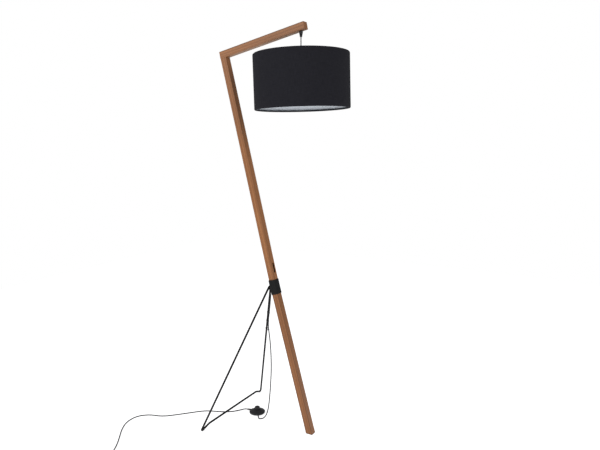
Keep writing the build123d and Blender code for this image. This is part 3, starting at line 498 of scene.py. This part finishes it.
# %% Timber for the poles, the arm, the strip and the dowels
LOWER_LEAN = math.radians(15.8)
UPPER_LEAN = math.radians(14.1)
ARM_RISE = math.radians(12.05)
LOWER_LENGTH = 676.5 * MM
JOINT = Vector((-math.sin(LOWER_LEAN), 0.0, math.cos(LOWER_LEAN))) * LOWER_LENGTH
foot_low, foot_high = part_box("foot_pad")
FOOT = (foot_low + foot_high) / 2
arm_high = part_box("arm")[1]
MOUTH = Vector(joints["pendant_swing_front_back"]["pos_m"])
ARM_HALF = 15.0 * MM
arm_tip = Vector((arm_high.x, 0.0, arm_high.z))


# The slot in the upper pole's front face, from the joint in the collar
SLOT_MIDDLE = (2.0 * MM, 87.0 * MM)  # across, up the pole
SLOT_HALF = (5.6 * MM, 24.1 * MM)  # a little over its half width and half length
SLOT_FACE = 14.7 * MM  # just under the pole's face


def slot_painted_shade(tree, local):
    """Mask of the walls inside the slot cut in the upper pole's front face, painted near-black as the shade inside
    it.
    """
    place = place_node(tree, "ShaderNodeSeparateXYZ", {0: local})
    within = maths(tree, "LESS_THAN", place.outputs["X"], SLOT_FACE)
    for side, middle, half_size in zip("YZ", SLOT_MIDDLE, SLOT_HALF):
        away = maths(tree, "ABSOLUTE", maths(tree, "SUBTRACT", place.outputs[side], middle))
        within = maths(tree, "MULTIPLY", within, maths(tree, "LESS_THAN", away, half_size))
    return within


def timber(name, origin, tilt, early, late, pith, gloss=0.42, paint_slot_shade=False):
    """Oiled wood whose grain runs along a frame's Z."""
    material, tree, shader = new_finish(name, gloss)
    shader.inputs["Specular IOR Level"].default_value = 0.28
    where = place_node(tree, "ShaderNodeTexCoord").outputs["Object"]
    inputs = {"Vector": where, "Location": tuple(origin), "Rotation": (0.0, tilt, 0.0)}
    local = place_node(tree, "ShaderNodeMapping", inputs, vector_type="TEXTURE").outputs[0]
    grain = use_group(tree, grain_group, Vector=local, Pith=pith)
    edges = use_group(tree, edge_group, Vector=local)
    ring = remap(tree, grain["Ring"], 0.1, 0.95)
    base = mix_colours(tree, ring, early, late)
    base = mix_colours(tree, remap(tree, grain["Cloud"], 0.3, 0.7, 0.0, 0.45), base, part_of(late, 0.78))
    base = mix_colours(tree, remap(tree, grain["Fibre"], 0.3, 0.75, 0.0, 0.42), base, part_of(late, 0.6))
    base = mix_colours(tree, maths(tree, "MULTIPLY", grain["Pore"], 0.5), base, part_of(late, 0.3))
    base = mix_colours(tree, maths(tree, "MULTIPLY", edges["Edge"], 0.62), base, part_of(late, 0.34))
    if paint_slot_shade:
        # The slot's walls get near-black colour: painted shade inside the recess.
        base = mix_colours(tree, slot_painted_shade(tree, local), base, colour(0.006, 0.006, 0.006))
    feed(tree, shader.inputs["Base Color"], base)
    rough = remap(tree, grain["Fibre"], 0.3, 0.7, gloss + 0.08, gloss - 0.04)
    feed(tree, shader.inputs["Roughness"], rough)
    relief = maths(tree, "SUBTRACT", maths(tree, "MULTIPLY", grain["Fibre"], 0.5), grain["Pore"])
    raise_surface(tree, shader, relief, 0.12, 0.06 * MM)
    return material


EARLY_WOOD = colour(0.375, 0.157, 0.057)
LATE_WOOD = colour(0.265, 0.104, 0.036)
LOWER_EARLY = colour(0.305, 0.124, 0.044)
LOWER_LATE = colour(0.225, 0.086, 0.029)
# The strip's pale colours are painted light: the arm's underside lit by the white floor below.
STRIP_EARLY_PAINTED_LIGHT = colour(0.42, 0.30, 0.21)
STRIP_LATE_PAINTED_LIGHT = colour(0.35, 0.24, 0.16)
DOWEL_EARLY = colour(0.62, 0.47, 0.31)
DOWEL_LATE = colour(0.52, 0.38, 0.24)
lower_wood = timber("oiled_wood_lower", FOOT, -LOWER_LEAN, LOWER_EARLY, LOWER_LATE, 0.052)
upper_wood = timber("oiled_wood_upper", JOINT, -UPPER_LEAN, EARLY_WOOD, LATE_WOOD, 0.047, paint_slot_shade=True)
along_arm = math.pi / 2 - ARM_RISE
arm_middle = arm_tip - Vector((math.cos(ARM_RISE), 0.0, math.sin(ARM_RISE))) * 0.2
arm_middle += Vector((math.sin(ARM_RISE), 0.0, -math.cos(ARM_RISE))) * ARM_HALF
arm_wood = timber("oiled_wood_arm", arm_middle, along_arm, EARLY_WOOD, LATE_WOOD, 0.058)
# Pale wood on the arm's strip: painted light from the floor, not a different timber tone.
strip_wood_painted_light = timber("arm_strip_painted_floor_light", arm_middle, along_arm, STRIP_EARLY_PAINTED_LIGHT, STRIP_LATE_PAINTED_LIGHT, 0.061, 0.6)
dowel_wood = timber("beech_dowel", arm_middle, along_arm, DOWEL_EARLY, DOWEL_LATE, 0.064, 0.6)

# %% [markdown]
# ### Fine surface texture
# Powder coat has a shallow orange peel, and moulded plastic and rubber a finer spark-eroded
# grain. Both are the same effect at different scales, so one group gives a height and a tone.

# %% The fine texture group
skin_group, given, result = new_group("fine_skin", {"Vector": None, "Size": 1500.0}, ["Height", "Tone"])
grainy = noise(skin_group, given.outputs["Vector"], given.outputs["Size"], 2.0, 0.55)
skin_group.links.new(grainy, result.inputs["Height"])
patches = noise(skin_group, given.outputs["Vector"], 38.0, 3.0, 0.6)
skin_group.links.new(patches, result.inputs["Tone"])

# %% [markdown]
# ### Settled dust
# Dark things on a floor show a little dust on the faces that look up. The mask takes the
# surface's own upward share and breaks it with noise.

# %% The dust group
dust_group, given, result = new_group("settled_dust", {"Vector": None, "Amount": 0.2}, ["Dust"])
facing = place_node(dust_group, "ShaderNodeNewGeometry").outputs["Normal"]
upward = place_node(dust_group, "ShaderNodeSeparateXYZ", {0: facing}).outputs["Z"]
upward = remap(dust_group, upward, 0.25, 1.0)
broken = remap(dust_group, noise(dust_group, given.outputs["Vector"], 260.0, 4.0, 0.7), 0.35, 0.75)
dusty = maths(dust_group, "MULTIPLY", maths(dust_group, "MULTIPLY", upward, broken), given.outputs["Amount"])
dust_group.links.new(dusty, result.inputs["Dust"])


# %% Painted steel, plastic and rubber
DUST = colour(0.32, 0.31, 0.29)


def dark_skin(name, tone, size, relief, roughness, dust=0.15, **settings):
    """A dark moulded or painted surface with fine texture and a little dust."""
    material, tree, shader = new_finish(name, roughness, **settings)
    where = place_node(tree, "ShaderNodeTexCoord").outputs["Object"]
    skin = use_group(tree, skin_group, Vector=where, Size=size)
    dusty = use_group(tree, dust_group, Vector=where, Amount=dust)
    lighter = part_of(tone, 1.25)
    base = mix_colours(tree, remap(tree, skin["Tone"], 0.35, 0.65), tone, lighter)
    base = mix_colours(tree, dusty["Dust"], base, DUST)
    feed(tree, shader.inputs["Base Color"], base)
    rough = remap(tree, skin["Height"], 0.3, 0.7, roughness - 0.05, roughness + 0.07)
    feed(tree, shader.inputs["Roughness"], rough)
    raise_surface(tree, shader, skin["Height"], 0.3, relief)
    return material


finishes = {
    "black_steel": dark_skin("black_powder_coat", colour(0.0045, 0.0047, 0.0048), 1300.0, 0.08 * MM, 0.5, 0.0,
                             Specular_IOR_Level=0.14),
    "black_plastic": dark_skin("black_moulded_plastic", colour(0.010, 0.010, 0.0115), 2600.0, 0.05 * MM, 0.4, 0.04,
                               Specular_IOR_Level=0.3),
    "rubber": dark_skin("black_rubber", colour(0.015, 0.015, 0.015), 1900.0, 0.06 * MM, 0.75, 0.12),
}

# %% [markdown]
# ### Metals, ceramic and the bulb
# Small parts inside the shade and under the switch are bare metal or white. Brushed steel and
# brass are metallic with roughness that varies in patches. The ceramic insert and the bulb's
# housing are white and dense, and the bulb's dome passes a little light, as opal plastic does.

# %% Bare metal and white parts


def bare_metal(name, tone, roughness):
    material, tree, shader = new_finish(name, roughness, Metallic=1.0)
    where = place_node(tree, "ShaderNodeTexCoord").outputs["Object"]
    skin = use_group(tree, skin_group, Vector=where, Size=900.0)
    darker = part_of(tone, 0.7)
    patch = remap(tree, skin["Tone"], 0.3, 0.7)
    feed(tree, shader.inputs["Base Color"], mix_colours(tree, patch, darker, tone))
    rough = remap(tree, skin["Tone"], 0.3, 0.7, roughness + 0.12, roughness - 0.05)
    feed(tree, shader.inputs["Roughness"], rough)
    raise_surface(tree, shader, skin["Height"], 0.15, 0.03 * MM)
    return material


def white_part(name, tone, roughness, size, relief, **settings):
    material, tree, shader = new_finish(name, roughness, **settings)
    where = place_node(tree, "ShaderNodeTexCoord").outputs["Object"]
    skin = use_group(tree, skin_group, Vector=where, Size=size)
    shaded = part_of(tone, 0.93)
    patch = remap(tree, skin["Tone"], 0.3, 0.7)
    feed(tree, shader.inputs["Base Color"], mix_colours(tree, patch, shaded, tone))
    raise_surface(tree, shader, skin["Height"], 0.2, relief)
    return material


finishes["screw_steel"] = bare_metal("zinc_plated_steel", colour(0.50, 0.50, 0.51), 0.32)
finishes["brass"] = bare_metal("plain_brass", colour(0.65, 0.48, 0.22), 0.3)
finishes["bulb_metal"] = bare_metal("rolled_aluminium", colour(0.80, 0.80, 0.81), 0.3)
finishes["pin_metal"] = bare_metal("nickel_plate", colour(0.72, 0.70, 0.66), 0.2)
finishes["ceramic"] = white_part("bare_ceramic", colour(0.80, 0.78, 0.74), 0.7, 900.0, 0.05 * MM)
finishes["white_steel"] = white_part("white_powder_coat", colour(0.80, 0.80, 0.80), 0.4, 1300.0, 0.06 * MM)
finishes["bulb_housing"] = white_part("white_moulding", colour(0.84, 0.84, 0.83), 0.4, 2000.0, 0.03 * MM)
finishes["bulb_diffuser"] = white_part("opal_dome", colour(0.90, 0.90, 0.88), 0.3, 2400.0, 0.01 * MM,
                                       Subsurface_Weight=0.3, Subsurface_Scale=0.01)
finishes["dowel_wood"] = dowel_wood
finishes["pale_wood"] = strip_wood_painted_light

# %% [markdown]
# ### Plain weave
# The shade's cloth and the lead's braid are both woven: threads cross over and under at a fixed
# pitch. Two sine waves at right angles give the two sets of threads, and their product says
# which one is on top. Noise stretched along each thread makes slubs, the thick places of a linen
# yarn. The group works on a flat vector in metres, so the pitch is the real one.

# %% The weave group
weave_group, given, result = new_group(
    "plain_weave",
    {"Vector": None, "Pitch Across": 0.0006, "Pitch Along": 0.0006, "Slub": 0.5},
    ["Height", "Gap", "Yarn"],
)
flat = place_node(weave_group, "ShaderNodeSeparateXYZ", {0: given.outputs["Vector"]})
across = maths(weave_group, "DIVIDE", flat.outputs["X"], given.outputs["Pitch Across"])
across = maths(weave_group, "MULTIPLY", across, math.pi)
along = maths(weave_group, "DIVIDE", flat.outputs["Y"], given.outputs["Pitch Along"])
along = maths(weave_group, "MULTIPLY", along, math.pi)
warp = maths(weave_group, "ABSOLUTE", maths(weave_group, "SINE", across))
weft = maths(weave_group, "ABSOLUTE", maths(weave_group, "SINE", along))
crossing = maths(weave_group, "COSINE", across)
over = maths(weave_group, "MULTIPLY", crossing, maths(weave_group, "COSINE", along))
over = remap(weave_group, over, -0.4, 0.4)
upper = mix_colours(weave_group, over, warp, weft)
bw = place_node(weave_group, "ShaderNodeRGBToBW", {0: upper}).outputs[0]
weave_group.links.new(bw, result.inputs["Height"])
# Gap marks the spaces between the threads, which the finishes darken as painted shade.
gap = remap(weave_group, maths(weave_group, "MAXIMUM", warp, weft), 0.75, 0.35)
weave_group.links.new(gap, result.inputs["Gap"])
warp_slub = noise(weave_group, scaled(weave_group, given.outputs["Vector"], (1.0, 0.035, 1.0)), 900.0, 2.0)
weft_slub = noise(weave_group, scaled(weave_group, given.outputs["Vector"], (0.035, 1.0, 1.0)), 900.0, 2.0)
slub = maths(weave_group, "MULTIPLY", maths(weave_group, "ADD", warp_slub, weft_slub), given.outputs["Slub"])
weave_group.links.new(slub, result.inputs["Yarn"])

# %% [markdown]
# ### Dark linen for the shade
# The cloth is nearly black with a slight blue cast. Its yarns catch the light by turns, so the
# colour varies from thread to thread. It is matt, so it has almost no gloss.

# %% The shade's cloth, its lining and the lead's braid


def woven(name, tone, bright, across, along, relief, roughness, slub=0.5, **settings):
    """A woven finish on a map whose units are metres."""
    material, tree, shader = new_finish(name, roughness, **settings)
    flat_map = place_node(tree, "ShaderNodeTexCoord").outputs["UV"]
    weave = use_group(tree, weave_group, Vector=flat_map, Pitch_Across=across, Pitch_Along=along, Slub=slub)
    base = mix_colours(tree, remap(tree, weave["Yarn"], 0.76 * slub, 1.24 * slub), tone, bright)
    # Darker in the gaps between threads: painted shade.
    base = mix_colours(tree, maths(tree, "MULTIPLY", weave["Gap"], 0.6), base, part_of(tone, 0.35))
    feed(tree, shader.inputs["Base Color"], base)
    thread = maths(tree, "MULTIPLY", weave["Height"], 0.7)
    height = maths(tree, "ADD", thread, maths(tree, "MULTIPLY", weave["Yarn"], 0.5))
    raise_surface(tree, shader, height, 0.5, relief)
    return material


LINEN_DARK = colour(0.0088, 0.0086, 0.0120)
LINEN_LIGHT = colour(0.0160, 0.0157, 0.0205)
shade_cloth = woven("dark_linen", LINEN_DARK, LINEN_LIGHT, 0.0007, 0.0007, 0.18 * MM,
                    0.9, Specular_IOR_Level=0.15)

material, tree, shader = new_finish("white_lining", 0.5, Specular_IOR_Level=0.3)
flat_map = place_node(tree, "ShaderNodeTexCoord").outputs["UV"]
ribs = use_group(tree, weave_group, Vector=flat_map, Pitch_Across=0.0011, Pitch_Along=0.0011, Slub=0.5)
share = remap(tree, ribs["Yarn"], 0.35, 0.65)
tone = mix_colours(tree, share, colour(0.64, 0.68, 0.735), colour(0.70, 0.735, 0.78))
feed(tree, shader.inputs["Base Color"], tone)
raise_surface(tree, shader, ribs["Height"], 0.12, 0.05 * MM)
shade_lining = material

# %% [markdown]
# The lead's sheath is braided: its yarns run round the cable at a slant. A curve's own map runs
# from 0 to 1 along it and round it, so the map is stretched to the cord's real length and girth
# and turned a half right angle before it meets the weave.

# %% The lead's braid


def braid(name, length, girth):
    material, tree, shader = new_finish(name, 0.75, Specular_IOR_Level=0.25)
    own_map = place_node(tree, "ShaderNodeTexCoord").outputs["UV"]
    real = scaled(tree, own_map, (length, girth, 1.0))
    slant = {"Vector": real, "Rotation": (0.0, 0.0, math.pi / 4)}
    slanted = place_node(tree, "ShaderNodeMapping", slant).outputs[0]
    weave = use_group(tree, weave_group, Vector=slanted, Pitch_Across=0.0011, Pitch_Along=0.0011, Slub=0.5)
    share = remap(tree, weave["Yarn"], 0.38, 0.62)
    base = mix_colours(tree, share, colour(0.014, 0.014, 0.016), colour(0.030, 0.030, 0.033))
    # Near-black in the gaps between the yarns: painted shade.
    base = mix_colours(tree, maths(tree, "MULTIPLY", weave["Gap"], 0.7), base, colour(0.006, 0.006, 0.006))
    feed(tree, shader.inputs["Base Color"], base)
    raise_surface(tree, shader, weave["Height"], 0.5, 0.25 * MM)
    return material


girth = math.pi * CORD
drop_cord.data.materials.append(braid("braid_to_switch", drop_length, girth))
floor_cord.data.materials.append(braid("braid_to_plug", floor_length, girth))

material, tree, shader = new_finish("braid_in_pole", 0.75, Specular_IOR_Level=0.25)
where = place_node(tree, "ShaderNodeTexCoord").outputs["Object"]
slanted = place_node(tree, "ShaderNodeMapping", {"Vector": where, "Rotation": (0.9, 0.7, 0.5)}).outputs[0]
weave = use_group(tree, weave_group, Vector=slanted, Pitch_Across=0.0011, Pitch_Along=0.0011, Slub=0.5)
# Darker in the weave's low places and lighter on its crowns: painted shade and painted highlight.
base = mix_colours(tree, weave["Height"], colour(0.010, 0.010, 0.011), colour(0.030, 0.030, 0.033))
feed(tree, shader.inputs["Base Color"], base)
raise_surface(tree, shader, weave["Height"], 0.4, 0.2 * MM)
finishes["cord_sheath"] = material

# %% [markdown]
# ### Putting the finishes on the solids
# Every solid that stays visible gets the finish of its material slot in the record, and the
# timbers get the wood that follows their own frame.

# %% Finishes on the solids
TIMBERS = {"lower_pole": lower_wood, "upper_pole": upper_wood, "arm": arm_wood}
slot_of = {part["node"]: part["material_slot"] for part in record["subparts"]}
for name, node in nodes.items():
    finish = TIMBERS.get(name) or finishes.get(slot_of[name])
    if finish is None:
        continue
    node.data.materials.clear()
    node.data.materials.append(finish)
print(len(nodes), "solids in", len(set(slot_of.values())), "slots")

# %% [markdown]
# ### The drum shade
# A drum shade is cloth glued round a stiff liner, with the cloth's edges rolled over two wire
# hoops. A plain ring would have knife edges, so the cloth here is one profile turned round the
# shade's axis: a short tail inside, a roll over the top hoop, the wall, a roll under the bottom
# hoop and another tail. Where the cloth's two ends meet it laps over itself, and the radius
# steps out by the cloth's thickness there.

# %% The shade's frame and outline
turn_joint = joints["shade_turn"]
CLAMP = Vector(turn_joint["pos_m"])
hang_tilt = math.atan2(turn_joint["axis"][0], turn_joint["axis"][2])
LAMP = Matrix.Translation(CLAMP) @ Matrix.Rotation(hang_tilt, 4, "Y")
fabric_low, fabric_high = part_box("shade_fabric")

SHADE_TOP = -18.2 * MM
SHADE_BOTTOM = SHADE_TOP - 223.0 * MM
SHADE_RADIUS = (fabric_high.y - fabric_low.y) / 2
CLOTH = 1.0 * MM
ROLL = 3.2 * MM
TAIL_DEPTH = 2.0 * MM
ROLL_STEPS = 8
WALL_STEPS = 6
SEGMENTS = 192
LAP = 12.0 * MM
LAP_ANGLE = math.radians(118.0)


def sheet_outline():
    """The cloth's middle line, from the top tail to the bottom tail, as radius and height."""
    wall = SHADE_RADIUS - CLOTH / 2
    centre = wall - ROLL
    points = [(centre - ROLL, SHADE_TOP - ROLL - TAIL_DEPTH)]
    for step in range(ROLL_STEPS + 1):
        angle = math.pi * (1 - step / ROLL_STEPS)
        points.append((centre + ROLL * math.cos(angle), SHADE_TOP - ROLL + ROLL * math.sin(angle)))
    top = SHADE_TOP - ROLL
    bottom = SHADE_BOTTOM + ROLL
    for step in range(1, WALL_STEPS):
        points.append((wall, top + (bottom - top) * step / WALL_STEPS))
    for step in range(ROLL_STEPS + 1):
        angle = -math.pi * step / ROLL_STEPS
        points.append((centre + ROLL * math.cos(angle), bottom + ROLL * math.sin(angle)))
    points.append((centre - ROLL, bottom + TAIL_DEPTH))
    return points


def thickened(points, thickness):
    """A closed outline round a line, half the thickness to each side."""
    sides = ([], [])
    for index, (r, z) in enumerate(points):
        before = points[max(index - 1, 0)]
        after = points[min(index + 1, len(points) - 1)]
        run = Vector((after[0] - before[0], after[1] - before[1])).normalized()
        normal = Vector((-run.y, run.x)) * thickness / 2
        sides[0].append((r + normal.x, z + normal.y))
        sides[1].append((r - normal.x, z - normal.y))
    return sides[0] + sides[1][::-1]


def turned(name, outline, frame_matrix, segments, swell=None):
    """A closed outline turned round a frame's Z, with a map in metres."""
    vertices = []
    faces = []
    maps = []
    count = len(outline)
    run = [0.0]
    for (r0, z0), (r1, z1) in zip(outline, outline[1:] + outline[:1]):
        run.append(run[-1] + math.hypot(r1 - r0, z1 - z0))
    for step in range(segments):
        angle = 2 * math.pi * step / segments
        out = swell(angle) if swell else 0.0
        for r, z in outline:
            place = Vector(((r + out) * math.cos(angle), (r + out) * math.sin(angle), z))
            vertices.append(frame_matrix @ place)
    girth = 2 * math.pi * max(r for r, z in outline)
    for step in range(segments):
        here = step * count
        after = (step + 1) % segments * count
        for index in range(count):
            other = (index + 1) % count
            faces.append((here + index, after + index, after + other, here + other))
            u0 = girth * step / segments
            u1 = girth * (step + 1) / segments
            maps.append(((u0, run[index]), (u1, run[index]), (u1, run[index + 1]), (u0, run[index + 1])))
    mesh = bpy.data.meshes.new(name)
    mesh.from_pydata(vertices, [], faces)
    layer = mesh.uv_layers.new(name="metres")
    flat = [value for face in maps for corner in face for value in corner]
    layer.data.foreach_set("uv", flat)
    for polygon in mesh.polygons:
        polygon.use_smooth = True
    mesh.update()
    made = bpy.data.objects.new(name, mesh)
    scene.collection.objects.link(made)
    return made


def lap(angle):
    """How far the cloth stands out: a step where it laps, and a hair of unevenness."""
    away = (angle - LAP_ANGLE) % (2 * math.pi)
    width = LAP / SHADE_RADIUS
    step = CLOTH * 0.45 * (1 - away / width * 0.6) if away < width else 0.0
    return step + 0.12 * MM * math.sin(3 * angle + 0.7) + 0.06 * MM * math.sin(11 * angle)


# %% Make the cloth and the lining
cloth = turned("shade_cloth", thickened(sheet_outline(), CLOTH), LAMP, SEGMENTS, lap)
cloth.data.materials.append(shade_cloth)
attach(cloth, "lamp")
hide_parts("shade_fabric", "shade_hem_top", "shade_hem_bottom")

LINING = 0.5 * MM
lining_radius = SHADE_RADIUS - CLOTH - 0.35 * MM - LINING / 2
lining_line = [(lining_radius, SHADE_TOP - 6.5 * MM), (lining_radius, (SHADE_TOP + SHADE_BOTTOM) / 2),
               (lining_radius, SHADE_BOTTOM + 6.5 * MM)]
lining = turned("shade_liner", thickened(lining_line, LINING), LAMP, SEGMENTS)
lining.data.materials.append(shade_lining)
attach(lining, "lamp")
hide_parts("shade_lining")

# %% [markdown]
# ### The pendant cord
# Two insulated cores twisted together carry the shade. Each core is a round tube that follows a
# helix about the cord's own line, and the line itself is a short straight spline from the grip's
# mouth to the lampholder's clamp.

# %% The twisted pendant cord
CORE = 2.45 * MM
TWIST_PITCH = 11.0 * MM
pendant_line_points = [tuple(MOUTH + (CLAMP - MOUTH) * share) for share in (-0.03, 0.25, 0.5, 0.75, 1.03)]


def helix_tube(name, line, radius, core, pitch, strands, sides=12, per_turn=20):
    """Round cores twisted about a line of points."""
    start, end = line[0], line[-1]
    axis = (end - start).normalized()
    side = axis.orthogonal().normalized()
    other = axis.cross(side)
    length = (end - start).length
    steps = int(length / pitch * per_turn)
    vertices = []
    faces = []
    for strand in range(strands):
        base = len(vertices)
        for step in range(steps + 1):
            along = length * step / steps
            turn = 2 * math.pi * (along / pitch + strand / strands)
            out = side * math.cos(turn) + other * math.sin(turn)
            centre = start + axis * along + out * radius
            swing = (axis.cross(out) * 2 * math.pi * radius / pitch + axis).normalized()
            across = swing.cross(out)
            for corner in range(sides):
                angle = 2 * math.pi * corner / sides
                vertices.append(centre + (out * math.cos(angle) + across * math.sin(angle)) * core / 2)
        for step in range(steps):
            for corner in range(sides):
                a = base + step * sides + corner
                b = base + step * sides + (corner + 1) % sides
                faces.append((a, b, b + sides, a + sides))
        faces.append(tuple(base + corner for corner in reversed(range(sides))))
        faces.append(tuple(base + steps * sides + corner for corner in range(sides)))
    mesh = bpy.data.meshes.new(name)
    mesh.from_pydata(vertices, [], faces)
    for polygon in mesh.polygons:
        polygon.use_smooth = len(polygon.vertices) == 4
    made = bpy.data.objects.new(name, mesh)
    scene.collection.objects.link(made)
    return made


pendant_route = cord_curve("pendant_line", pendant_line_points, CORE)
pendant_line = line_of(pendant_route)
bpy.data.objects.remove(pendant_route)
pendant = helix_tube("pendant_twist", pendant_line, CORE * 0.48, CORE, TWIST_PITCH, 2)
pendant.data.materials.append(finishes["cord_sheath"])
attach(pendant, "pendant_cord")
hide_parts("pendant_cord")
